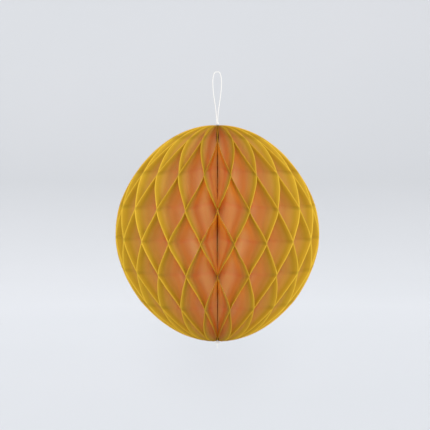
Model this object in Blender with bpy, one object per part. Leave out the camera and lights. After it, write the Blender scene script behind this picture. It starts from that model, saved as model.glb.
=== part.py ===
"""Paper honeycomb ball, hung by a thread: forty tissue leaves round a hollow spine, closed by two
half-round cover boards that meet back to back at the seam.

Metres, +Z up. The origin is the hook seat, under the top of the hanging loop. The front is -Y.
Azimuths start at the front and grow towards +X. The ball stands open; each leaf and board has a
parent on the vertical axis about which it turns as the ball closes to a flat half disc.
"""

import math

import bpy
from mathutils import Matrix, Vector

# --- thread ----------------------------------------------------------------------------------
THREAD_RADIUS = 0.0004
THREAD_SIDES = 8
THREAD_TILT = math.pi / THREAD_SIDES        # turns a flat side of the thread onto the hook
CORD_SIDES = 12

LOOP_DROP = 0.0464            # hook seat down to the centre of the loop's knot
LOOP_HALF_WIDTH = 0.0040
LOOP_FLAT = 0.0012            # half the straight piece that lies on the hook
LOOP_FOOT = 0.0005            # each strand's distance from the axis at the knot
LOOP_ARCH = 0.0093            # height of the rounded top
STRAND_STEPS = 8
ARCH_STEPS = 7

KNOT_RADIUS = 0.0013
KNOT_CLEARANCE = 0.0002       # between the loop's knot and the thread above and below it
STOP_KNOT_RADIUS = 0.0023
STOP_KNOT_HEIGHT = 0.0032
STOP_CLEARANCE = 0.00005      # between the cord's lower end and the stop knot
POLE_CLEARANCE = 0.0003       # between each end of the ball and the knot next to it
KNOT_SEGMENTS = 16
KNOT_RINGS = 10

# --- the opened ball -------------------------------------------------------------------------
BALL_RADIUS = 0.0946          # widest radius
BALL_HALF_HEIGHT = 0.1000     # half the length of the spine
POLE_SQUEEZE = 0.207          # flattens the poles: strength of the height loss away from the spine
BALL_CENTRE = -(LOOP_DROP + KNOT_RADIUS + POLE_CLEARANCE + BALL_HALF_HEIGHT)
BALL_BOTTOM = BALL_CENTRE - BALL_HALF_HEIGHT
STOP_KNOT_TOP = BALL_BOTTOM - POLE_CLEARANCE

# --- leaves and boards -----------------------------------------------------------------------
LEAF_COUNT = 40
LEAF_STEP = 2 * math.pi / LEAF_COUNT
MIDDLE_LEAF = LEAF_COUNT // 2   # the leaf that stays put when the ball closes
LEAF_THICKNESS = 0.00006
LEAF_PITCH = 0.00020          # mean spacing of the leaves along the closed spine
LEAF_INNER = 0.00010          # each leaf starts this far outside its spine point
OUTLINE_STEPS = 36            # steps along the rim of a leaf or board

BOARD_THICKNESS = 0.00060
BOARD_GAP = 0.00030           # between the two boards
BOARD_INSET = 0.0010          # the boards stop this far inside the leaves' rim
BOARD_INNER = 0.00040         # each board starts this far outside its spine point

SEAM_AZIMUTH = math.radians(126.0)
FAN_TURN = SEAM_AZIMUTH - math.pi   # from the fan's own frame, with its seam at +Y, to the world
SEAM_WIDTH = 2 * BOARD_THICKNESS + BOARD_GAP
# Extra pitch opposite the seam, and less beside it, so that the ring's open side fits the boards.
PITCH_SWING = SEAM_WIDTH / (LEAF_COUNT / 2)

STRIP_WIDTH = 0.008
STRIP_THICKNESS = 0.00016
# Adhesive strips: distance from the spine, height above the ball's centre, length
STRIPS = (
    (0.058, 0.046, 0.034),
    (0.078, 0.0, 0.040),
    (0.058, -0.046, 0.034),
)

PIVOT_DISPLAY_SIZE = 0.006

# Material: base colour (linear RGB), roughness
FINISHES = {
    "tissue": ((0.50, 0.235, 0.045), 0.85),
    "board": ((0.62, 0.55, 0.44), 0.90),
    "thread": ((0.86, 0.85, 0.81), 0.80),
    "tape": ((0.90, 0.90, 0.86), 0.45),
}


# --- scene helpers ---------------------------------------------------------------------------
def clear_scene():
    for obj in list(bpy.data.objects):
        bpy.data.objects.remove(obj)


def make_material(name, colour, roughness):
    material = bpy.data.materials.new(name)
    material.use_nodes = True
    shader = material.node_tree.nodes["Principled BSDF"]
    shader.inputs["Base Color"].default_value = (*colour, 1.0)
    shader.inputs["Roughness"].default_value = roughness
    shader.inputs["Metallic"].default_value = 0.0
    material.diffuse_color = (*colour, 1.0)
    return material


def adopt(obj, collection, material):
    """Moves an object into the collection and gives it its material."""
    for owner in list(obj.users_collection):
        owner.objects.unlink(obj)
    collection.objects.link(obj)
    if not obj.data.materials:   # the leaves share one curve, and so do the boards
        obj.data.materials.append(material)


def add_pivot(name, location, collection):
    empty = bpy.data.objects.new(name, None)
    empty.empty_display_size = PIVOT_DISPLAY_SIZE
    empty.matrix_basis = Matrix.Translation(location)
    collection.objects.link(empty)
    return empty


def poly_curve(name, dimensions, points):
    """A curve with one open spline of straight pieces through the points."""
    curve = bpy.data.curves.new(name, "CURVE")
    curve.dimensions = dimensions
    curve.resolution_u = 1
    spline = curve.splines.new("POLY")
    spline.points.add(len(points) - 1)
    for target, point in zip(spline.points, points):
        target.co = (*point, 1.0)
    return curve


# --- thread pieces ---------------------------------------------------------------------------
def loop_points():
    """The loop's centreline in the XZ plane: up the +X strand, over the top, down the other."""
    crown = THREAD_RADIUS * math.cos(math.pi / THREAD_SIDES)   # its flat underside is at z = 0
    foot = -LOOP_DROP + KNOT_RADIUS + KNOT_CLEARANCE
    shoulder = crown - LOOP_ARCH
    right = []
    for i in range(STRAND_STEPS + 1):
        share = i / STRAND_STEPS
        spread = math.sin(math.pi / 2 * share) ** 2
        x = LOOP_FOOT + (LOOP_HALF_WIDTH - LOOP_FOOT) * spread
        right.append((x, 0.0, foot + (shoulder - foot) * share))
    for i in range(1, ARCH_STEPS + 1):
        angle = math.pi / 2 * i / ARCH_STEPS
        x = LOOP_FLAT + (LOOP_HALF_WIDTH - LOOP_FLAT) * math.cos(angle)
        right.append((x, 0.0, shoulder + LOOP_ARCH * math.sin(angle)))
    left = [(-x, y, z) for x, y, z in reversed(right)]
    return right + left


def make_loop():
    curve = poly_curve("hanging_loop", "3D", loop_points())
    curve.bevel_depth = THREAD_RADIUS
    curve.bevel_resolution = (THREAD_SIDES - 4) // 2
    curve.use_fill_caps = True
    curve.twist_mode = "Z_UP"
    for point in curve.splines[0].points:
        point.tilt = THREAD_TILT
    return bpy.data.objects.new("hanging_loop", curve)


def make_knot(name, radius, height, centre_z):
    """A smooth knot, round from above, centred on the spine."""
    bpy.ops.mesh.primitive_uv_sphere_add(
        segments=KNOT_SEGMENTS, ring_count=KNOT_RINGS, radius=radius, location=(0.0, 0.0, centre_z)
    )
    obj = bpy.context.object
    obj.name = obj.data.name = name
    obj.scale = (1.0, 1.0, height / (2 * radius))
    bpy.ops.object.transform_apply(location=False, rotation=False, scale=True)
    obj.data.shade_smooth()
    return obj


def make_cord():
    """The length of thread inside the spine, from the loop's knot to the stop knot."""
    top = -LOOP_DROP - KNOT_RADIUS - KNOT_CLEARANCE
    bottom = STOP_KNOT_TOP + STOP_CLEARANCE
    bpy.ops.mesh.primitive_cylinder_add(
        vertices=CORD_SIDES,
        radius=THREAD_RADIUS,
        depth=top - bottom,
        location=(0.0, 0.0, (top + bottom) / 2),
    )
    cord = bpy.context.object
    cord.name = cord.data.name = "spine_cord"
    cord.data.shade_smooth()
    return cord


def build_thread(collection, material):
    stop_centre = STOP_KNOT_TOP - STOP_KNOT_HEIGHT / 2
    for piece in (
        make_loop(),
        make_knot("loop_knot", KNOT_RADIUS, 2 * KNOT_RADIUS, -LOOP_DROP),
        make_cord(),
        make_knot("stop_knot", STOP_KNOT_RADIUS, STOP_KNOT_HEIGHT, stop_centre),
    ):
        adopt(piece, collection, material)


# --- layout of the fan, seen from above in its own frame, seam at +Y -------------------------
def leaf_azimuth(k):
    """Leaf k of 1 to LEAF_COUNT, counted from the start board; 0 is opposite the seam."""
    return -math.pi + (k - 0.5) * LEAF_STEP


def spine_hinges():
    """The folds between neighbours, as a nearly round ring whose open side is the seam's width.

    Element k lies between leaf k and leaf k + 1; the first and last are the boards' own edges.
    """
    ring = [Vector((-SEAM_WIDTH / 2, 0.0))]
    for k in range(1, LEAF_COUNT + 1):
        azimuth = leaf_azimuth(k)
        pitch = LEAF_PITCH + PITCH_SWING * math.cos(azimuth)
        ring.append(ring[-1] + pitch * Vector((math.cos(azimuth), math.sin(azimuth))))
    middle = (max(p.y for p in ring) + min(p.y for p in ring)) / 2
    return [Vector((p.x, p.y - middle)) for p in ring]


def open_places(hinges):
    """The spine point and azimuth of every leaf and board in the opened ball."""
    places = {
        k: ((hinges[k - 1] + hinges[k]) / 2, leaf_azimuth(k)) for k in range(1, LEAF_COUNT + 1)
    }
    places["start"] = (hinges[0], -math.pi)
    places["end"] = (hinges[-1], math.pi)
    return places


def closed_offsets(hinges):
    """How far along the closed stack every leaf and board lies from the start board."""
    edges = [0.0]
    for before, after in zip(hinges, hinges[1:]):
        edges.append(edges[-1] + (after - before).length)
    offsets = {k: (edges[k - 1] + edges[k]) / 2 for k in range(1, LEAF_COUNT + 1)}
    offsets["start"] = edges[0]
    offsets["end"] = edges[-1]
    return offsets


def turning_centre(before, after, angle):
    """The point about which turning by angle carries before to after."""
    turn = Matrix.Rotation(angle, 2)
    return (Matrix.Identity(2) - turn).inverted() @ (after - turn @ before)


def fold_axes(hinges, places):
    """The point on which each leaf or board turns to join the closed stack on the middle leaf."""
    offsets = closed_offsets(hinges)
    home, plane = places[MIDDLE_LEAF]
    across = Vector((math.cos(plane), math.sin(plane)))
    axes = {MIDDLE_LEAF: home}
    for member, (point, azimuth) in places.items():
        if member != MIDDLE_LEAF:
            closed = home + across * (offsets[member] - offsets[MIDDLE_LEAF])
            axes[member] = turning_centre(point, closed, plane - azimuth)
    return axes


def fan_to_world(point):
    """Carries a point of the fan's frame to the world, at the height of the ball's centre."""
    flat = Matrix.Rotation(FAN_TURN, 2) @ point
    return Vector((flat.x, flat.y, BALL_CENTRE))


# --- flat pieces -----------------------------------------------------------------------------
def rim_point(height_share, reach):
    """Radius and height on an opened leaf's rim, at a share from -1 to 1 up the outline."""
    radius = reach * math.sqrt(max(0.0, 1.0 - height_share * height_share))
    squeeze = math.sqrt(1.0 - POLE_SQUEEZE * (radius / reach) ** 2)
    return radius, BALL_HALF_HEIGHT * height_share * squeeze


def half_disc(name, inner, inset, reach, thickness):
    """A flat half disc on its straight spine edge: local X runs outward and local Y runs up."""
    points = []
    for i in range(OUTLINE_STEPS + 1):
        angle = -math.pi / 2 + math.pi * i / OUTLINE_STEPS
        radius, up = rim_point(math.sin(angle), reach)
        length = math.hypot(radius, up)
        scale = (length - inset) / length
        points.append((max(inner, radius * scale), up * scale, 0.0))
    curve = poly_curve(name, "2D", points)
    curve.fill_mode = "BOTH"
    curve.extrude = thickness / 2
    curve.splines[0].use_cyclic_u = True
    return curve


def place_flat(obj, place, parent, outward_offset=0.0, up_offset=0.0, side_offset=0.0):
    """Stands a flat piece at its place in the fan, local X outward and local Y up."""
    point, fan_azimuth = place
    azimuth = fan_azimuth + FAN_TURN
    outward = Vector((math.sin(azimuth), -math.cos(azimuth), 0.0))
    up = Vector((0.0, 0.0, 1.0))
    side = outward.cross(up)
    world = Matrix((outward, up, side)).transposed().to_4x4()
    world.translation = (
        fan_to_world(point) + outward * outward_offset + up * up_offset + side * side_offset
    )
    obj.parent = parent
    obj.matrix_basis = parent.matrix_basis.inverted() @ world


def build_leaves(places, axes, reach, collection, material):
    shape = half_disc("tissue_leaf", LEAF_INNER, 0.0, reach, LEAF_THICKNESS)
    for k in range(1, LEAF_COUNT + 1):
        parent = add_pivot(f"fold_axis_{k:02d}", fan_to_world(axes[k]), collection)
        leaf = bpy.data.objects.new(f"tissue_sheet_{k:02d}", shape)
        adopt(leaf, collection, material)
        place_flat(leaf, places[k], parent)


def build_boards(places, axes, reach, collection, material):
    """The boards, each with its inner face on an end of the ring. Returns their pivots."""
    shape = half_disc("cover_board", BOARD_INNER, BOARD_INSET, reach, BOARD_THICKNESS)
    pivots = {}
    # At the seam the side direction runs from the start board towards the end board.
    for which, side in (("start", 1), ("end", -1)):
        parent = add_pivot(f"fold_axis_{which}", fan_to_world(axes[which]), collection)
        board = bpy.data.objects.new(f"cover_board_{which}", shape)
        adopt(board, collection, material)
        place_flat(board, places[which], parent, side_offset=side * BOARD_THICKNESS / 2)
        pivots[which] = parent
    return pivots


def build_strips(start_place, start_pivot, collection, material):
    """Adhesive strips midway in the gap between the boards, which move with the start board."""
    for i, (radius, up, length) in enumerate(STRIPS, 1):
        bpy.ops.mesh.primitive_cube_add(size=1.0, location=(0.0, 0.0, 0.0))
        strip = bpy.context.object
        strip.name = strip.data.name = f"adhesive_strip_{i}"
        strip.data.transform(Matrix.Diagonal((STRIP_WIDTH, length, STRIP_THICKNESS, 1.0)))
        adopt(strip, collection, material)
        place_flat(
            strip,
            start_place,
            start_pivot,
            outward_offset=radius,
            up_offset=up,
            side_offset=BOARD_THICKNESS + BOARD_GAP / 2,
        )


def main():
    clear_scene()
    ball = bpy.data.collections.new("honeycomb_ball")
    bpy.context.scene.collection.children.link(ball)
    materials = {name: make_material(name, *finish) for name, finish in FINISHES.items()}

    hinges = spine_hinges()
    places = open_places(hinges)
    axes = fold_axes(hinges, places)
    reach = BALL_RADIUS - max(hinge.length for hinge in hinges)

    build_thread(ball, materials["thread"])
    build_leaves(places, axes, reach, ball, materials["tissue"])
    pivots = build_boards(places, axes, reach, ball, materials["board"])
    build_strips(places["start"], pivots["start"], ball, materials["tape"])


main()
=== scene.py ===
"""Looks of a paper honeycomb ball: forty tissue leaves, two cover boards, tape and twisted thread.

Everything is in metres, in the row frame. +Z is up and the ball hangs from its loop, with its hollow
spine round the Z axis. Azimuths start at the front (-Y) and grow towards +X. The leaves fan round
the spine from one cover board to the other, and the two boards meet at the seam.
"""

import math

import bpy
import numpy as np
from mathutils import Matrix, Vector


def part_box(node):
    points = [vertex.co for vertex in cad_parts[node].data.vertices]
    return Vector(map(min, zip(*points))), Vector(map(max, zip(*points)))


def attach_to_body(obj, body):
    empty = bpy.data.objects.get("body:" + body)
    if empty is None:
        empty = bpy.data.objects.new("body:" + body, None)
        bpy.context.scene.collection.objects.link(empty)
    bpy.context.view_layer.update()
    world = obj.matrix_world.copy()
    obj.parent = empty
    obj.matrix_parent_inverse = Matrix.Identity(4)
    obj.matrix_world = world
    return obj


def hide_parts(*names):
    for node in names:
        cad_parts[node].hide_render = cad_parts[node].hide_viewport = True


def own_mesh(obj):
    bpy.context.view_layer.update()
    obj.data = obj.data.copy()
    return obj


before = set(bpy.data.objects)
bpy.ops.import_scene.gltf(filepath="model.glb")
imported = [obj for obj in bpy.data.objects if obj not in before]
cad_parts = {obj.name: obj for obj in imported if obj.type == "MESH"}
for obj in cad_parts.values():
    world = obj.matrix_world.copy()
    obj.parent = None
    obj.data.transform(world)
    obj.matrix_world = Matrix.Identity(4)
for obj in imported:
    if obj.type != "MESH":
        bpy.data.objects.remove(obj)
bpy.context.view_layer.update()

# --- the ball -------------------------------------------------------------------------------------
leaf_low, leaf_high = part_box("tissue_sheet_20")
CENTRE_Z = (leaf_low.z + leaf_high.z) / 2
HALF_HEIGHT = (leaf_high.z - leaf_low.z) / 2
CENTRE = Vector((0, 0, CENTRE_Z))
UP = Vector((0, 0, 1))

LEAVES = 40
STEP = 2 * math.pi / LEAVES
BALL_RADIUS = 0.0946
SQUEEZE = 0.207               # how far the leaves' heights shrink towards the rim
SEAM_WIDTH = 0.0015
SEAM_AZIMUTH = math.radians(126)
TURN = SEAM_AZIMUTH - math.pi
FOLD_PITCH = 0.0002           # mean distance between folds round the spine
PITCH_SWING = SEAM_WIDTH / (LEAVES / 2)


def out(azimuth):
    return np.array([math.sin(azimuth), -math.cos(azimuth)])


def contact_azimuth(j):
    """Azimuth of contact j, between leaf j and leaf j + 1; leaf k's middle is at k - 0.5."""
    return -math.pi + j * STEP + TURN


def spine_ring():
    """Folds round the hollow spine: fold j lies between leaf j and leaf j + 1."""
    ring = [np.array([-SEAM_WIDTH / 2, 0.0])]
    for k in range(1, LEAVES + 1):
        heading = -math.pi + (k - 0.5) * STEP
        pitch = FOLD_PITCH + PITCH_SWING * math.cos(heading)
        ring.append(ring[-1] + pitch * np.array([math.cos(heading), math.sin(heading)]))
    ring = np.array(ring)
    ring[:, 1] -= (ring[:, 1].max() + ring[:, 1].min()) / 2
    cos, sin = math.cos(TURN), math.sin(TURN)
    return ring @ np.array([[cos, sin], [-sin, cos]])


RING = spine_ring()
REACH = BALL_RADIUS - max(np.hypot(*fold) for fold in RING)


def add_object(name, mesh, material):
    obj = bpy.data.objects.new(name, mesh)
    bpy.context.scene.collection.objects.link(obj)
    mesh.materials.append(material)
    return obj


def attach(obj, body, slot, *nodes):
    """Let an object ride on a body in place of its CAD nodes."""
    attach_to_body(obj, body)
    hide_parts(*nodes)


# --- materials ------------------------------------------------------------------------------------
MIDDLE = (0.3, 0.7)           # the part of its 0 to 1 that a noise mostly stays in


def srgb(*levels):
    """Linear colour from 0 to 255 sRGB levels."""
    shares = [level / 255 for level in levels]
    return tuple(c / 12.92 if c <= 0.04045 else ((c + 0.055) / 1.055) ** 2.4 for c in shares) + (1.0,)


class Nodes:
    """A small helper for writing node trees. Any value may be a number, a tuple or a socket."""

    def __init__(self, name):
        self.mat = bpy.data.materials.new(name)
        self.mat.use_nodes = True
        self.tree = self.mat.node_tree
        self.tree.nodes.clear()
        self.output = self.tree.nodes.new("ShaderNodeOutputMaterial")

    def add(self, kind, **settings):
        node = self.tree.nodes.new(kind)
        for key, value in settings.items():
            setattr(node, key, value)
        return node

    def feed(self, socket, value):
        if isinstance(value, bpy.types.NodeSocket):
            self.tree.links.new(value, socket)
        else:
            socket.default_value = value

    def finish(self, shader):
        self.feed(self.output.inputs[0], shader.outputs[0])
        return self.mat

    def place(self):
        return self.add("ShaderNodeTexCoord").outputs["Object"]

    def attribute(self, name):
        return self.add("ShaderNodeAttribute", attribute_name=name).outputs["Fac"]

    def math(self, operation, a, b):
        node = self.add("ShaderNodeMath", operation=operation)
        self.feed(node.inputs[0], a)
        self.feed(node.inputs[1], b)
        return node.outputs[0]

    def range(self, value, gives, over=MIDDLE, smooth=False):
        """Map the interval `over` to the interval `gives`, clamped at both ends."""
        node = self.add("ShaderNodeMapRange")
        node.clamp = True
        if smooth:
            node.interpolation_type = "SMOOTHSTEP"
        self.feed(node.inputs["Value"], value)
        for key, limit in zip(("From Min", "From Max", "To Min", "To Max"), (*over, *gives)):
            node.inputs[key].default_value = limit
        return node.outputs["Result"]

    def mix(self, factor, a, b, mode="MIX"):
        node = self.add("ShaderNodeMix", data_type="RGBA", blend_type=mode)
        # sockets 0, 6 and 7 are the factor and the two colours; output 2 is the colour
        for i, value in ((0, factor), (6, a), (7, b)):
            self.feed(node.inputs[i], value)
        return node.outputs[2]

    def combine(self, *channels):
        node = self.add("ShaderNodeCombineColor")
        for socket, value in zip(node.inputs, channels):
            self.feed(socket, value)
        return node.outputs[0]

    def noise(self, vector, scale=1.0, detail=2.0, rough=0.5, stretch=(1, 1, 1)):
        mapping = self.add("ShaderNodeMapping")
        mapping.inputs["Scale"].default_value = stretch
        self.feed(mapping.inputs["Vector"], vector)
        node = self.add("ShaderNodeTexNoise")
        self.feed(node.inputs["Vector"], mapping.outputs[0])
        node.inputs["Scale"].default_value = scale
        node.inputs["Detail"].default_value = detail
        node.inputs["Roughness"].default_value = rough
        return node.outputs["Fac"]

    def bump(self, height, strength, distance):
        node = self.add("ShaderNodeBump")
        node.inputs["Strength"].default_value = strength
        node.inputs["Distance"].default_value = distance
        self.feed(node.inputs["Height"], height)
        return node.outputs[0]

    def principled(self, colour, roughness, specular, normal=None):
        node = self.add("ShaderNodeBsdfPrincipled")
        self.feed(node.inputs["Base Color"], colour)
        self.feed(node.inputs["Roughness"], roughness)
        node.inputs["Specular IOR Level"].default_value = specular
        if normal:
            self.feed(node.inputs["Normal"], normal)
        return node


def tissue_material():
    nodes = Nodes("tissue_paper")
    uv = nodes.add("ShaderNodeUVMap", uv_map="sheet").outputs[0]
    rim, glue, spine = (nodes.attribute(name) for name in ("rim_mm", "glue_mm", "spine_mm"))
    # fibres run along the spine, with a cloudy formation under them
    streak = nodes.noise(uv, detail=3.0, rough=0.6, stretch=(1500, 130, 1))
    cloud = nodes.noise(uv, detail=3.0, rough=0.55, stretch=(260, 210, 1))
    speck = nodes.noise(uv, stretch=(2600, 900, 1))
    stripe = nodes.noise(uv, detail=3.0, rough=0.55, stretch=(420, 22, 1))

    # each painted tone: its colour, the distances from the rim in mm where it fades, its shares
    # there; together they paint the cells' light and shade into the leaf's colour
    painted_depth_shading = (
        # painted shade on the outer part, the tissue's own mustard with a painted lit band behind the
        # cut edge, painted light passed on between the leaves on the inner part and towards the
        # spine, and a painted highlight on the cut edge
        ((0.52, 0.272, 0.0085, 1.0), (4.0, 13.0), (1.0, 0.0)),    # brown, outer part
        ((0.64, 0.365, 0.012, 1.0), (1.0, 6.5), (1.0, 0.0)),      # mustard, behind the cut edge
        ((0.91, 0.55, 0.12, 1.0), (12.0, 23.0), (0.0, 1.0)),      # light orange, inner part
        ((0.9998, 0.93, 0.44, 1.0), (23.0, 50.0), (0.0, 1.0)),    # pale, towards the spine
        ((0.86, 0.555, 0.023, 1.0), (0.3, 1.6), (1.0, 0.0)),      # bright yellow, the cut edge
    )
    colour = (0.73, 0.365, 0.042, 1.0)                            # orange, under all of them
    for painted_tone, depths, shares in painted_depth_shading:
        colour = nodes.mix(nodes.range(rim, over=depths, gives=shares, smooth=True), colour, painted_tone)

    tone = nodes.range(streak, over=(0.25, 0.75), gives=(0.93, 1.0))
    for pattern, change in ((cloud, (-0.03, 0.01)), (speck, (-0.02, 0.01)), (stripe, (-0.06, 0.03))):
        tone = nodes.math("ADD", tone, nodes.range(pattern, gives=change))

    # the glued line is a little darker from the glue, with painted crease shade that is strongest out
    # at the rim where the crease is sharpest
    line = nodes.range(glue, over=(0.5, 2.8), gives=(1.0, 0.0), smooth=True)

    def glue_and_crease_shade(darkening):
        depth = nodes.range(rim, over=(3.0, 16.0), gives=darkening, smooth=True)
        return nodes.math("SUBTRACT", 1.0, nodes.math("MULTIPLY", line, depth))

    red_line = glue_and_crease_shade(darkening=(0.16, 0.0))
    other_line = glue_and_crease_shade(darkening=(0.17, 0.05))

    # painted shadow: where the leaves meet at the spine the paper is painted dark, and its edge
    # wanders (mm)
    wander = nodes.range(nodes.noise(uv, stretch=(7, 46, 1)), gives=(0.0, 2.3))
    seam = nodes.math("SUBTRACT", spine, wander)
    seam = nodes.range(seam, over=(0.0, 0.9), gives=(1.0, 0.0), smooth=True)

    # tone hardly touches the red, which passes nearly unweakened from cell to cell
    red_tone = nodes.math("ADD", nodes.math("MULTIPLY", tone, 0.15), 0.85)
    red = nodes.math("MULTIPLY", red_tone, red_line)
    green, blue = (nodes.math("MULTIPLY", tone, other_line) for _ in range(2))
    colour = nodes.mix(1.0, colour, nodes.combine(red, green, blue), "MULTIPLY")
    # the painted shadow at the spine, dark brown
    colour = nodes.mix(seam, colour, srgb(96, 52, 30))

    streak_part = nodes.math("MULTIPLY", streak, 0.6)
    relief = nodes.math("ADD", streak_part, nodes.math("MULTIPLY", speck, 0.4))
    normal = nodes.bump(relief, strength=0.35, distance=0.00006)
    roughness = nodes.range(speck, gives=(0.78, 0.92))
    paper = nodes.principled(colour, roughness, specular=0.05, normal=normal)
    through = nodes.add("ShaderNodeBsdfTranslucent")
    light = nodes.mix(1.0, colour, (1.0, 0.985, 0.9, 1.0), "MULTIPLY")
    nodes.feed(through.inputs["Color"], light)
    nodes.feed(through.inputs["Normal"], normal)
    # more light comes through away from the rim
    share = nodes.range(rim, over=(5.0, 24.0), gives=(0.40, 0.72), smooth=True)
    both = nodes.add("ShaderNodeMixShader")
    nodes.feed(both.inputs[0], nodes.math("ADD", share, nodes.range(cloud, gives=(-0.04, 0.04))))
    nodes.feed(both.inputs[1], paper.outputs[0])
    nodes.feed(both.inputs[2], through.outputs[0])
    return nodes.finish(both)


def board_material():
    nodes = Nodes("grey_board")
    place = nodes.place()
    fibre = nodes.noise(place, detail=4.0, rough=0.65, stretch=(900, 900, 260))
    cloud = nodes.noise(place, scale=140.0, detail=3.0)
    fleck = nodes.noise(place, scale=1500.0, detail=1.0)
    clouded = nodes.range(cloud, gives=(0.0, 1.0))
    colour = nodes.mix(clouded, srgb(205, 198, 184), srgb(190, 182, 166))
    pale = nodes.range(fibre, over=(0.35, 0.7), gives=(0.0, 0.5))
    colour = nodes.mix(pale, colour, srgb(226, 220, 208))
    dark = nodes.range(fleck, over=(0.66, 0.76), gives=(0.0, 0.55))
    colour = nodes.mix(dark, colour, srgb(120, 108, 92))
    normal = nodes.bump(fibre, strength=0.4, distance=0.00004)
    roughness = nodes.range(fibre, gives=(0.82, 0.95))
    return nodes.finish(nodes.principled(colour, roughness, specular=0.2, normal=normal))


def thread_material():
    nodes = Nodes("cotton_thread")
    place = nodes.place()
    fuzz = nodes.noise(place, scale=9000.0, detail=3.0, rough=0.7)
    slub = nodes.noise(place, scale=700.0)
    fuzzy = nodes.range(fuzz, gives=(0.0, 1.0))
    colour = nodes.mix(fuzzy, srgb(226, 224, 217), srgb(240, 238, 233))
    thick = nodes.range(slub, over=(0.45, 0.75), gives=(0.0, 0.4))
    colour = nodes.mix(thick, colour, srgb(212, 209, 200))
    normal = nodes.bump(fuzz, strength=0.5, distance=0.00003)
    roughness = nodes.range(fuzz, gives=(0.78, 0.95))
    shader = nodes.principled(colour, roughness, specular=0.2, normal=normal)
    shader.inputs["Sheen Weight"].default_value = 0.25
    return nodes.finish(shader)


def tape_material():
    nodes = Nodes("adhesive_tape")
    place = nodes.place()
    cloud = nodes.noise(place, scale=420.0, detail=3.0, rough=0.55)
    fine = nodes.noise(place, scale=3200.0)
    clouded = nodes.range(cloud, gives=(0.0, 1.0))
    colour = nodes.mix(clouded, srgb(236, 232, 216), srgb(222, 216, 196))
    normal = nodes.bump(fine, strength=0.3, distance=0.00003)
    roughness = nodes.range(cloud, gives=(0.28, 0.48))
    return nodes.finish(nodes.principled(colour, roughness, specular=0.45, normal=normal))


TISSUE = tissue_material()
GREYBOARD = board_material()
COTTON = thread_material()
TAPE = tape_material()

# --- leaves ---------------------------------------------------------------------------------------
# glue lines across the leaves, as heights from the spine's middle. They are numbered from GLUE_FIRST
# up: odd ones join contacts 0, 2, 4... and even ones join contacts 1, 3, 5...
GLUE_FIRST = -4
GLUE_LINES = np.array(
    [-0.1300, -0.0982, -0.0664, -0.0345, -0.0027, 0.0290, 0.0608, 0.0900, 0.1200]
)
GLUE_HALF = 0.0007            # half the width of a glued strip
PAPER = 0.00009               # thickness shown
APART = 0.00005               # from a contact plane to the middle of each of its two papers
WAVE_STRAIGHT, WAVE_SOFT = 0.80, 0.20    # parts of a leaf's swing from glue line to glue line

ROW_COUNT, ROW_END_ANGLE = 110, 88.6     # even rows, in degrees of latitude up to each pole
ROW_LIMIT = 0.99971                      # share of the half height that rows stay within
ROW_GAP = 0.00030                        # least distance between rows
GLUE_ROWS = (-2.2, -1.0, 1.0, 2.2)       # extra rows round a glue line, in GLUE_HALF
# columns from the spine to the rim, as shares of the reach
COLUMNS = np.concatenate(
    [np.linspace(0, 0.04, 4), np.linspace(0.04, 0.9, 40)[1:], np.linspace(0.9, 1, 9)[1:]]
)

INNER_RADIUS, INNER_SHARE = 0.0001, 0.2  # the first column: this far out, or this share of reach
EDGE_WANDER = 0.0012                     # how untrue the cut edge is, as a share of the reach
RIPPLE_SHARE, RIPPLE_LIMIT = 0.034, 0.00042  # ripple height, of a cell's width and at most
LEAN_RADIUS = 0.016                      # where the spine's lean has halved
TUCKS = (0.00030, 0.00018)               # how far inside the folds the bound edge lies
FIRST_TUCKS = (0.00012, 0.00006)         # the same for leaf 1
UV_SHIFT = 0.13                          # from leaf to leaf, so that no two look the same


class Noise:
    """Value noise on a lattice with smooth interpolation, the same at every run."""

    SIZE = 256

    def __init__(self, seed):
        self.table = np.random.default_rng(seed).uniform(-1, 1, (self.SIZE, self.SIZE))

    def __call__(self, x, y):
        x0, y0 = np.floor(x), np.floor(y)
        tx, ty = x - x0, y - y0
        tx, ty = tx * tx * (3 - 2 * tx), ty * ty * (3 - 2 * ty)
        i, j = x0.astype(int) % self.SIZE, y0.astype(int) % self.SIZE
        i1, j1 = (i + 1) % self.SIZE, (j + 1) % self.SIZE
        table = self.table
        low = table[i, j] * (1 - tx) + table[i1, j] * tx
        high = table[i, j1] * (1 - tx) + table[i1, j1] * tx
        return low * (1 - ty) + high * ty


SWAY = Noise(7)


def lean(height):
    """The spine's offset from its straight line at each height, towards the seam; 0 at the poles.

    It stays small enough for the hollow to turn round the straight cord without touching it.
    """
    slow = 0.00036 * SWAY(height * 32 + 5, height * 0 + 9)
    quick = 0.00010 * SWAY(height * 90 + 2, height * 0 + 4)
    offset = (slow + quick) * np.clip(1 - (height / HALF_HEIGHT) ** 2, 0, 1) ** 0.75
    return offset[..., None] * out(SEAM_AZIMUTH)


def glue_phase(height):
    """Number of the nearest glue line, the distance from it, and the lines' pitch there."""
    number = np.interp(height, GLUE_LINES, np.arange(len(GLUE_LINES)) + GLUE_FIRST)
    nearest = np.round(number)
    between = (GLUE_LINES[1:] + GLUE_LINES[:-1]) / 2
    pitch = np.interp(height, between, np.diff(GLUE_LINES))
    return nearest, np.abs(number - nearest) * pitch, pitch


def wave(height):
    """+1 on odd glue lines, -1 on even ones: nearly straight in between, flat on the glue."""
    nearest, away, pitch = glue_phase(height)
    run = pitch - 2 * GLUE_HALF
    share = np.clip((away - GLUE_HALF) / run, 0, 0.5)
    soft = share * share * (3 - 2 * share)
    level = 1 - 2 * (WAVE_STRAIGHT * share + WAVE_SOFT * soft)
    sign = np.where(nearest.astype(int) % 2 != 0, 1.0, -1.0)
    return sign * level


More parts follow.
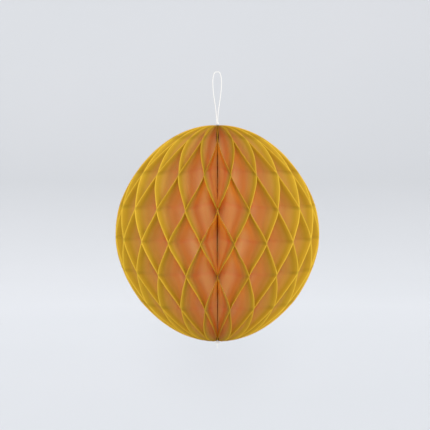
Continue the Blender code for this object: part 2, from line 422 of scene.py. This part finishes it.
def leaf_rows():
    """Heights along the spine, closer at the poles and round the glue lines."""
    angles = np.radians(np.linspace(-ROW_END_ANGLE, ROW_END_ANGLE, ROW_COUNT))
    heights = list(HALF_HEIGHT * np.sin(angles))
    heights += [line + offset * GLUE_HALF for line in GLUE_LINES for offset in GLUE_ROWS]
    heights = sorted(height for height in heights if abs(height) < HALF_HEIGHT * ROW_LIMIT)
    kept = [heights[0]]
    for height in heights[1:]:
        if height - kept[-1] > ROW_GAP:
            kept.append(height)
    return np.array(kept)


ROWS = leaf_rows()


def leaf_grid(k):
    """Points of leaf k in rows and columns, with each one's height, radius and reach."""
    grain = Noise(100 + k)
    height = ROWS[:, None] * np.ones(len(COLUMNS))[None, :]
    reach = REACH * np.sqrt(1 - (height / HALF_HEIGHT) ** 2)
    reach = reach * (1 + EDGE_WANDER * grain(height * 180 + 7, height * 0 + 3))
    inner = np.minimum(INNER_RADIUS, reach * INNER_SHARE)
    radius = inner + (reach - inner) * COLUMNS[None, :]

    # the leaf zigzags between its two contact planes
    side = wave(height) if k % 2 == 0 else -wave(height)
    share = (1 + side) / 2
    before = RING[k - 1][None, None, :] + radius[..., None] * out(contact_azimuth(k - 1))
    after = RING[k][None, None, :] + radius[..., None] * out(contact_azimuth(k))
    flat = before * (1 - share[..., None]) + after * share[..., None]
    middle = contact_azimuth(k - 0.5)
    across = np.array([math.cos(middle), math.sin(middle)])
    flat = flat + across * (APART * (1 - 2 * share))[..., None]

    # the handled paper waves where it is free, and lies still where it is glued
    def layer(weight, per_metre, start):
        """One ripple, with its frequencies and starts along the radius and the height."""
        x = radius * per_metre[0] + start[0]
        return weight * grain(x, height * per_metre[1] + start[1])

    ripple = (
        layer(weight=0.55, per_metre=(55, 42), start=(11, 0))
        + layer(weight=0.25, per_metre=(130, 90), start=(31, 17))
        + layer(weight=0.5, per_metre=(12, 210), start=(3, 41)) * (radius / REACH) ** 2
        + layer(weight=0.35, per_metre=(260, 24), start=(57, 5))
    )
    free = 4 * share * (1 - share)
    room = radius * STEP
    size = np.clip(room * RIPPLE_SHARE, 0, RIPPLE_LIMIT)
    flat = flat + across * (size * free * ripple)[..., None]
    z = CENTRE_Z + height * np.sqrt(1 - SQUEEZE * (radius / REACH) ** 2)

    # all the sheets lean with the soft spine near the axis
    near = 1 / (1 + (radius / LEAN_RADIUS) ** 2)
    flat = flat + lean(height) * near[..., None]

    # the bound edge: each sheet tucks in along the spine behind the one before it, like shingles
    outward = out(middle)
    if k == 1:
        tucks = [flat[:, :1, :] - outward * depth for depth in FIRST_TUCKS]
    else:
        shift = lean(height[:, :1])
        folds = (RING[k - 2], RING[k - 1])
        tucks = [fold - outward * depth + shift for fold, depth in zip(folds, TUCKS)]
    flat = np.concatenate(tucks + [flat], 1)
    z, height, radius, reach = (
        np.concatenate([grid[:, :1]] * 2 + [grid], 1) for grid in (z, height, radius, reach)
    )
    return np.stack([flat[..., 0], flat[..., 1], z], -1), height, radius, reach


def leaf_mesh(k):
    points, height, radius, reach = leaf_grid(k)
    index = np.arange(height.size).reshape(height.shape)
    corners = [index[:-1, :-1], index[:-1, 1:], index[1:, 1:], index[1:, :-1]]
    quads = np.stack(corners, -1).reshape(-1, 4)
    mesh = bpy.data.meshes.new(f"leaf_{k:02d}")
    mesh.vertices.add(height.size)
    mesh.vertices.foreach_set("co", points.astype(np.float32).ravel())
    mesh.loops.add(quads.size)
    mesh.loops.foreach_set("vertex_index", quads.astype(np.int32).ravel())
    mesh.polygons.add(len(quads))
    mesh.polygons.foreach_set("loop_start", np.arange(0, quads.size, 4, dtype=np.int32))
    mesh.update(calc_edges=True)
    mesh.validate()
    mesh.shade_smooth()
    # distances in metres, kept in mm for the tissue material
    for name, distance in (
        ("rim_mm", reach - radius),
        ("glue_mm", glue_phase(height)[1]),
        ("spine_mm", radius),
    ):
        attribute = mesh.attributes.new(name, "FLOAT", "POINT")
        attribute.data.foreach_set("value", (distance * 1000).astype(np.float32).ravel())
    uv = mesh.uv_layers.new(name="sheet")
    sheet = np.stack([radius.ravel() + UV_SHIFT * k, height.ravel()], -1)[quads.ravel()]
    uv.data.foreach_set("uv", sheet.astype(np.float32).ravel())
    return mesh


# the leaves ride on their bodies
for k in range(1, LEAVES + 1):
    leaf = add_object(f"leaf_{k:02d}", leaf_mesh(k), TISSUE)
    solid = leaf.modifiers.new("thickness", "SOLIDIFY")
    solid.thickness = PAPER
    solid.offset = 0.0
    solid.use_even_offset = False
    body = "middle_leaf" if k == 20 else f"leaf_{k:02d}"
    attach(leaf, body, "tissue", f"tissue_sheet_{k:02d}")
    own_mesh(leaf)


# --- boards and tape ------------------------------------------------------------------------------
BOARD = 0.0006                # thickness
BOARD_BEVEL = 0.00012
BOARD_INNER = 0.0004          # from the fold to the board's straight edge
BOARD_INSET = 0.001           # from the leaves' rim to the board's
BOARD_STEPS = 120
BEVEL_STEPS = 4

TAPE_WIDTH, TAPE_THICKNESS = 0.008, 0.00016
TAPE_BEVEL = 0.00003
TAPE_CORNER = 0.0006
TOOTH_DEPTH, TEETH = 0.0003, 16
# strips: distance out from the fold, height from the ball's centre, length
STRIPS = ((0.058, 0.046, 0.034), (0.078, 0.0, 0.040), (0.058, -0.046, 0.034))


def plate(name, outline, thickness, bevel, origin, azimuth, offset):
    """A flat upright piece with softened edges.

    The outline is in (outward, up) from the origin, and the piece's middle plane stands off the
    origin by the offset.
    """
    outward = Vector((*out(azimuth), 0.0))
    normal = outward.cross(UP)
    origin = origin + normal * offset
    points = np.array(outline)
    count = len(points)
    # the softened edge moves inwards along each corner's bisector
    tangent = np.roll(points, -1, 0) - np.roll(points, 1, 0)
    outer = np.stack([tangent[:, 1], -tangent[:, 0]], -1)
    outer /= np.linalg.norm(outer, axis=1)[:, None]
    vertices = []
    for side in (-1, 1):
        for i in range(BEVEL_STEPS + 1):
            share = i / BEVEL_STEPS if side > 0 else 1 - i / BEVEL_STEPS
            angle = math.pi / 2 * share
            level = side * (thickness / 2 - bevel + bevel * math.sin(angle))
            for x, y in points - outer * (bevel * (1 - math.cos(angle))):
                vertices.append(origin + outward * x + UP * y + normal * level)
    faces = []
    last = len(vertices) - count
    for ring in range(0, last, count):
        for i in range(count):
            j = (i + 1) % count
            faces.append((ring + i, ring + j, ring + count + j, ring + count + i))
    faces.append(tuple(reversed(range(count))))
    faces.append(tuple(range(last, len(vertices))))
    mesh = bpy.data.meshes.new(name)
    mesh.from_pydata([tuple(vertex) for vertex in vertices], [], faces)
    mesh.validate()
    mesh.shade_smooth()
    mesh.set_sharp_from_angle(angle=math.radians(50))
    return mesh


def board_outline():
    """The leaves' half disc, a little smaller."""
    points = []
    for i in range(BOARD_STEPS + 1):
        level = math.sin(-math.pi / 2 + math.pi * i / BOARD_STEPS)
        radius = REACH * math.sqrt(max(0.0, 1 - level * level))
        up = HALF_HEIGHT * level * math.sqrt(1 - SQUEEZE * (radius / REACH) ** 2)
        length = math.hypot(radius, up)
        x = max(BOARD_INNER, radius * (length - BOARD_INSET) / length)
        points.append((x, up * (length - BOARD_INSET) / length))
    return points


def tape_outline(length, seed):
    """An upright rounded rectangle whose top and bottom ends are toothed."""
    rng = np.random.default_rng(seed)
    corner_x, corner_y = TAPE_WIDTH / 2 - TAPE_CORNER, length / 2 - TAPE_CORNER
    points = []
    for side_x, side_y, start in ((1, 1, 0), (-1, 1, 90), (-1, -1, 180), (1, -1, 270)):
        for i in range(7):
            angle = math.radians(start + 15 * i)
            x = side_x * corner_x + TAPE_CORNER * math.cos(angle)
            points.append((x, side_y * corner_y + TAPE_CORNER * math.sin(angle)))
    toothed = []
    for (x, y), (next_x, next_y) in zip(points, points[1:] + points[:1]):
        toothed.append((x, y))
        if abs(y - next_y) < 1e-9 and abs(x - next_x) > 0.002:
            for i in range(1, TEETH):
                inward = -math.copysign(TOOTH_DEPTH * (i % 2), y)
                jitter = rng.uniform(-1, 1) * TOOTH_DEPTH * 0.1
                toothed.append((x + (next_x - x) * (i / TEETH), y + inward + jitter))
    return toothed


for which, j, side in (("start", 0, 1), ("end", LEAVES, -1)):
    mesh = plate(
        f"board_{which}", board_outline(), BOARD, BOARD_BEVEL,
        origin=Vector((*RING[j], CENTRE_Z)), azimuth=contact_azimuth(j), offset=side * BOARD / 2,
    )
    board = add_object(f"board_{which}", mesh, GREYBOARD)
    attach(board, f"{which}_cover", "board", f"cover_board_{which}")

for i, (distance, up, length) in enumerate(STRIPS, 1):
    azimuth = contact_azimuth(0)
    origin = Vector((*RING[0], CENTRE_Z + up)) + Vector((*out(azimuth), 0.0)) * distance
    mesh = plate(
        f"tape_{i}", tape_outline(length, seed=i), TAPE_THICKNESS, TAPE_BEVEL,
        origin=origin, azimuth=azimuth, offset=SEAM_WIDTH / 2,
    )
    strip = add_object(f"tape_{i}", mesh, TAPE)
    attach(strip, "start_cover", "tape", f"adhesive_strip_{i}")


# --- thread ---------------------------------------------------------------------------------------
knot_low, knot_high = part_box("loop_knot")
stop_low, stop_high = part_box("stop_knot")
KNOT_Z = (knot_low.z + knot_high.z) / 2
STOP_Z = (stop_low.z + stop_high.z) / 2

THREAD_RADIUS = 0.0004        # of the plied thread
PLIES, PLY_SIDES = 3, 8
PLY_SHARE = 0.535             # a ply's radius as a share of the thread's
TAPER = 0.0006                # length over which an open end narrows
CORD_SINK = 0.0009            # how far the cord's ends lie below the knot's middle and stop's top

LOOP_FOOT = 0.0005            # half the loop's spread at the knot
LOOP_HALF_WIDTH = 0.0040
LOOP_FLAT = 0.0012            # half the flat stretch at the crown
LOOP_ARCH = 0.0093            # height of the arch
CROWN_Z = THREAD_RADIUS * math.cos(math.pi / PLY_SIDES)
SHOULDER_Z = CROWN_Z - LOOP_ARCH
FOOT_Z = KNOT_Z + 0.0010
LEG_STEPS, ARCH_STEPS = 60, 40
SWAY_RIGHT, SWAY_LEFT = 0.0004, -0.0005    # of the strands at +X and -X, along Y


def arc_lengths(path):
    return np.concatenate([[0], np.cumsum(np.linalg.norm(np.diff(path, axis=0), axis=1))])


def side_directions(path, closed):
    """Two side directions at each point of a path, turning as little as possible along it."""
    if closed:
        tangent = np.roll(path, -1, 0) - np.roll(path, 1, 0)
    else:
        tangent = np.gradient(path, axis=0)
    tangent /= np.linalg.norm(tangent, axis=1)[:, None]
    side = np.cross(tangent[0], (0.0, 1.0, 0.03))
    side /= np.linalg.norm(side)
    sides = [side]
    for direction in tangent[1:]:
        side = side - direction * (side @ direction)
        side /= np.linalg.norm(side)
        sides.append(side)
    sides = np.array(sides)
    other = np.cross(tangent, sides)
    if closed:  # spread the twist left over at the end along the whole length
        last = sides[-1] - tangent[0] * (sides[-1] @ tangent[0])
        miss = math.atan2(last @ other[0], last @ sides[0])
        turn = -miss * np.arange(len(path)) / len(path)
        cos, sin = np.cos(turn)[:, None], np.sin(turn)[:, None]
        sides, other = sides * cos + other * sin, other * cos - sides * sin
    return sides, other


def tube(path, radius, closed):
    """Vertices and faces of a tube round a path; an open one narrows at its ends."""
    side, other = side_directions(path, closed)
    count = len(path)
    radii = np.full(count, radius)
    if not closed:
        along = arc_lengths(path)
        end = np.minimum(along, along[-1] - along)
        radii = radius * np.sqrt(np.clip(end / TAPER, 0.03, 1))
    angle = 2 * math.pi * np.arange(PLY_SIDES) / PLY_SIDES
    cos, sin = np.cos(angle)[None, :, None], np.sin(angle)[None, :, None]
    ring = side[:, None, :] * cos + other[:, None, :] * sin
    vertices = (path[:, None, :] + ring * radii[:, None, None]).reshape(-1, 3)
    index = np.arange(count * PLY_SIDES).reshape(count, PLY_SIDES)
    upper = np.roll(index, -1, 0) if closed else index[1:]
    lower = index if closed else index[:-1]
    corners = [lower, upper, np.roll(upper, -1, 1), np.roll(lower, -1, 1)]
    faces = np.stack(corners, -1).reshape(-1, 4).tolist()
    if not closed:
        faces.append(index[0].tolist())
        faces.append(index[-1][::-1].tolist())
    return vertices, faces


def join(parts):
    """One set of vertices and faces from several."""
    vertices, faces, base = [], [], 0
    for part_vertices, part_faces in parts:
        vertices.append(part_vertices)
        faces += [[v + base for v in face] for face in part_faces]
        base += len(part_vertices)
    return np.concatenate(vertices), faces


def resample(path, step, closed=False):
    points = np.concatenate([path, path[:1]]) if closed else path
    along = arc_lengths(points)
    count = max(8, int(round(along[-1] / step)))
    where = np.linspace(0, along[-1], count + 1)
    where = where[:-1] if closed else where
    return np.stack([np.interp(where, along, points[:, i]) for i in range(3)], -1)


def twisted(path, step, radius=THREAD_RADIUS, lay=0.0026, closed=False):
    """A plied thread round a path: each ply winds once about the middle in a lay's length."""
    path = resample(path, step, closed)
    ply = radius * PLY_SHARE
    offset = radius - ply
    along = arc_lengths(path)
    if closed:
        total = along[-1] + np.linalg.norm(path[0] - path[-1])
        lay = total / max(1, round(total / lay))
    side, other = side_directions(path, closed)
    plies = []
    for i in range(PLIES):
        angle = 2 * math.pi * (along / lay + i / PLIES)
        line = path + offset * (side * np.cos(angle)[:, None] + other * np.sin(angle)[:, None])
        plies.append(tube(line, ply, closed))
    return join(plies)


def thread_piece(name, parts, body, node):
    vertices, faces = join(parts)
    mesh = bpy.data.meshes.new(name)
    mesh.from_pydata(vertices.tolist(), [], faces)
    mesh.validate()
    mesh.update()
    mesh.shade_smooth()
    attach(add_object(name, mesh, COTTON), body, "thread", node)


def loop_path():
    """Up the right leg (+X), over the arch and down the left one."""
    right = []
    for i in range(LEG_STEPS):
        share = i / LEG_STEPS
        spread = (LOOP_HALF_WIDTH - LOOP_FOOT) * math.sin(math.pi / 2 * share) ** 2
        right.append((LOOP_FOOT + spread, 0.0, FOOT_Z + (SHOULDER_Z - FOOT_Z) * share))
    for i in range(ARCH_STEPS + 1):
        angle = math.pi / 2 * i / ARCH_STEPS
        x = LOOP_FLAT + (LOOP_HALF_WIDTH - LOOP_FLAT) * math.cos(angle)
        right.append((x, 0.0, SHOULDER_Z + LOOP_ARCH * math.sin(angle)))
    right = np.array(right)
    path = np.concatenate([right, right[::-1] * (-1, 1, 1)])
    # a hand-wound loop is never in one plane
    sway = np.sin((path[:, 2] - FOOT_Z) / (CROWN_Z - FOOT_Z) * math.pi)
    path[:, 1] += np.where(path[:, 0] > 0, SWAY_RIGHT, SWAY_LEFT) * sway
    return path


def torus_knot(turns, waves, major, minor, z, stretch, count=400):
    """A closed knot round the Z axis: turns round the axis, waves round the ring's section."""
    angle = 2 * math.pi * np.arange(count) / count
    radius = major + minor * np.cos(waves * angle)
    x, y = radius * np.cos(turns * angle), radius * np.sin(turns * angle)
    return np.stack([x, y, z + stretch * minor * np.sin(waves * angle)], -1)


thread_piece("loop", [twisted(loop_path(), step=0.0002)], "loop", "hanging_loop")

knot = torus_knot(turns=2, waves=3, major=0.00076, minor=0.00046, z=KNOT_Z, stretch=1.7)
knot_thread = twisted(knot, step=0.00016, radius=THREAD_RADIUS * 0.98, lay=0.0024, closed=True)
thread_piece("top_knot", [knot_thread], "knot", "loop_knot")

stop = torus_knot(turns=3, waves=4, major=0.00125, minor=0.00070, z=STOP_Z, stretch=1.45)
# the loose end starts inside the stop knot and hangs below it
tail = np.array(
    [
        (0.0002 * math.sin(t * 5), 0.0003 * t * t, stop_low.z + 0.0012 - 0.0052 * t)
        for t in np.linspace(0, 1, 40)
    ]
)
stop_parts = [
    twisted(stop, step=0.00016, lay=0.0024, closed=True),
    twisted(tail, step=0.00016, radius=THREAD_RADIUS * 0.95, lay=0.0022),
]
thread_piece("end_knot", stop_parts, "thread", "stop_knot")

cord = np.array([(0, 0, KNOT_Z - CORD_SINK), (0, 0, stop_high.z - CORD_SINK)])
thread_piece("cord", [twisted(cord, step=0.00024)], "thread", "spine_cord")


# --- stage ----------------------------------------------------------------------------------------
FLOOR_Z = stop_low.z - 0.30
FLOOR_RADII = (0.3, 0.8, 1.4, 2.0, 2.6)
WALL_CURVE, WALL_STEPS = 1.8, 16
WALL_HEIGHT = 3.2
BOWL_SIDES = 96


def floor_material():
    nodes = Nodes("pale_floor")
    cloud = nodes.noise(nodes.place(), scale=1.3)
    # the far wall faces the lights more squarely than the floor, and is darker to look even
    tilt = nodes.add("ShaderNodeSeparateXYZ")
    nodes.feed(tilt.inputs[0], nodes.add("ShaderNodeNewGeometry").outputs["Normal"])
    level = nodes.range(tilt.outputs[1], over=(-0.55, 0.0), gives=(0.53, 0.92))
    clouded = nodes.range(cloud, gives=(0.0, 1.0))
    shade = nodes.mix(clouded, srgb(230, 234, 240), srgb(233, 236, 242))
    colour = nodes.mix(1.0, shade, nodes.combine(level, level, level), "MULTIPLY")
    return nodes.finish(nodes.principled(colour, roughness=0.9, specular=0.1))


def bowl():
    """A pale floor that turns up into a wall all round, so that every view has a plain ground."""
    profile = [(radius, 0.0) for radius in FLOOR_RADII]
    for i in range(1, WALL_STEPS + 1):
        angle = math.pi / 2 * i / WALL_STEPS
        radius = FLOOR_RADII[-1] + WALL_CURVE * math.sin(angle)
        profile.append((radius, WALL_CURVE * (1 - math.cos(angle))))
    profile.append((FLOOR_RADII[-1] + WALL_CURVE, WALL_HEIGHT))
    count = BOWL_SIDES
    vertices = [(0.0, 0.0, FLOOR_Z)]
    for radius, z in profile:
        for i in range(count):
            angle = 2 * math.pi * i / count
            vertices.append((radius * math.cos(angle), radius * math.sin(angle), FLOOR_Z + z))
    faces = [(0, 1 + i, 1 + (i + 1) % count) for i in range(count)]
    for ring in range(len(profile) - 1):
        for i in range(count):
            a, b = 1 + ring * count + i, 1 + ring * count + (i + 1) % count
            faces.append((a, a + count, b + count, b))
    mesh = bpy.data.meshes.new("floor")
    mesh.from_pydata(vertices, [], faces)
    mesh.update()
    mesh.shade_smooth()
    floor = add_object("floor", mesh, floor_material())
    floor.visible_shadow = False  # the wall doesn't stand in the way of the low lights


bowl()

world = bpy.data.worlds.new("studio")
bpy.context.scene.world = world
world.use_nodes = True
background = world.node_tree.nodes["Background"]
background.inputs["Color"].default_value = (0.93, 0.965, 1.0, 1.0)
background.inputs["Strength"].default_value = 0.06


def aimed(name, data, azimuth, elevation, distance):
    """A light or camera that looks at the ball's centre from a direction, in degrees."""
    obj = bpy.data.objects.new(name, data)
    bpy.context.scene.collection.objects.link(obj)
    a, e = math.radians(azimuth), math.radians(elevation)
    towards = Vector((math.sin(a) * math.cos(e), -math.cos(a) * math.cos(e), math.sin(e)))
    obj.location = CENTRE + towards * distance
    obj.rotation_mode = "QUATERNION"
    obj.rotation_quaternion = (-towards).to_track_quat("-Z", "Y")
    return obj


WARM, COOL = (1.0, 0.99, 0.98), (0.98, 0.99, 1.0)
# suns: name, azimuth, elevation and spread in degrees, strength, colour
for name, azimuth, elevation, spread, strength, colour in (
    ("front", 0, 12, 8, 1.80, WARM),
    ("right", 42, 30, 22, 1.30, WARM),
    ("left", -42, 30, 22, 0.55, WARM),
    ("side", 112, 24, 34, 0.42, WARM),
    ("top", 0, 70, 50, 0.55, COOL),
    ("back", 190, 28, 40, 0.80, COOL),
):
    light = bpy.data.lights.new(name, "SUN")
    light.angle = math.radians(spread)
    light.energy = strength
    light.color = colour
    aimed(name, light, azimuth, elevation, distance=1.5)

scene = bpy.context.scene
camera = bpy.data.cameras.new("camera")
scene.camera = aimed("camera", camera, azimuth=0, elevation=4.49, distance=1.282)
camera.sensor_width = 36.0
camera.lens = 116.0455814
camera.shift_x = -0.005023255814
camera.shift_y = 0.04269767442
camera.clip_start, camera.clip_end = 0.02, 30.0

scene.view_settings.view_transform = "Standard"
scene.view_settings.gamma = 1.4
# light passes through many leaves
scene.cycles.max_bounces = 64
scene.cycles.diffuse_bounces = 40
scene.cycles.transmission_bounces = 40
